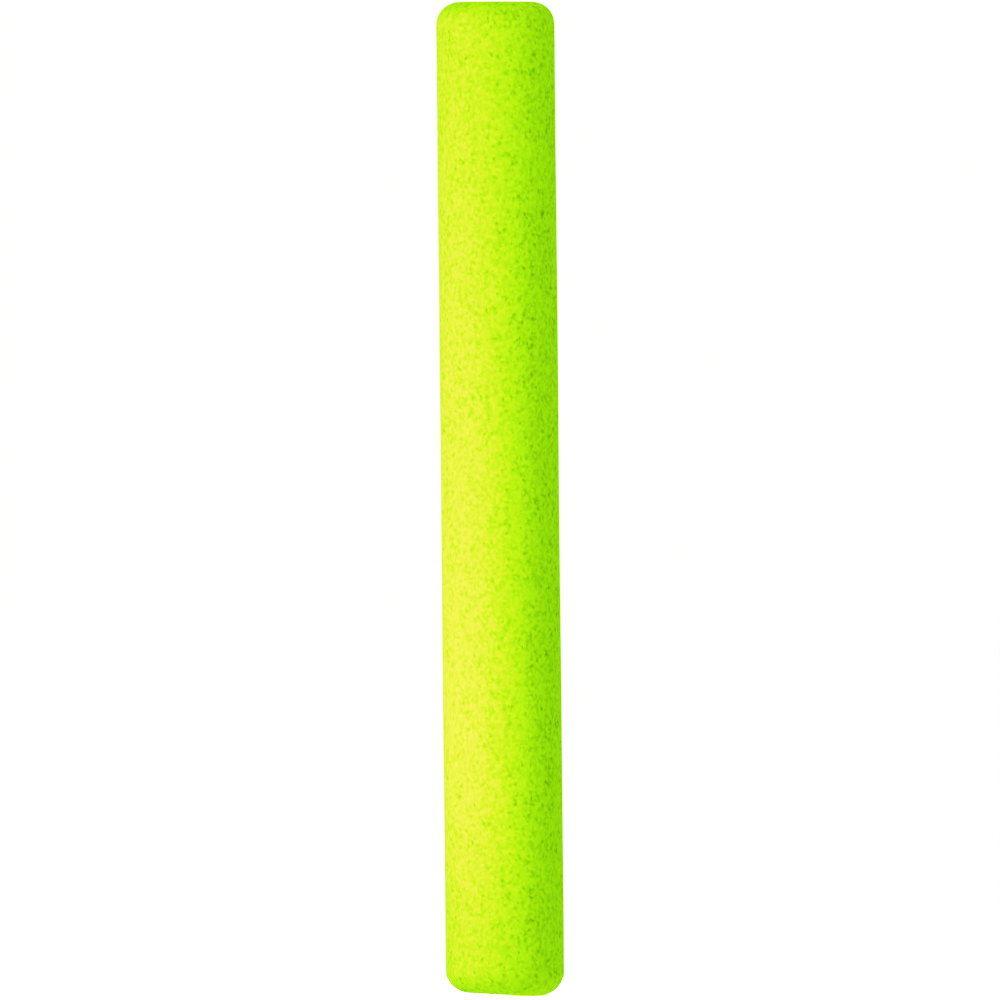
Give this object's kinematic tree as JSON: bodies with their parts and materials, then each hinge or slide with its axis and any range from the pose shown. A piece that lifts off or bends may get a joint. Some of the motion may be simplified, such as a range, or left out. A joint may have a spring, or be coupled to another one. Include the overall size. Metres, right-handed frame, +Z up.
{
  "type": "juggling club",
  "caption": "Straight foam-padded juggling club: a neon yellow-green foam sleeve with rounded rims over a capped wooden dowel, caught at either end.",
  "frame": {"origin": "centre of the flat bottom end face, which the stick stands on", "axes": "+Z up along the stick's axis, from the bottom end to the top end; +X and +Y across it, all directions round the axis being alike"},
  "size_m": [0.05, 0.05, 0.422],
  "materials": {
    "foam": "matte",
    "beech": "matte",
    "tape": "matte",
    "cap_plastic": "satin",
    "zinc_steel": "satin"
  },
  "bodies": {
    "root": {"foam_sleeve": "foam", "top_foam_plug": "foam", "bottom_foam_plug": "foam", "dowel_core": "beech", "adhesive_tape_bands": "tape", "top_core_cap": "cap_plastic", "bottom_core_cap": "cap_plastic", "top_washer": "zinc_steel", "bottom_washer": "zinc_steel", "top_cap_screw": "zinc_steel", "bottom_cap_screw": "zinc_steel"}
  },
  "joints": []
}
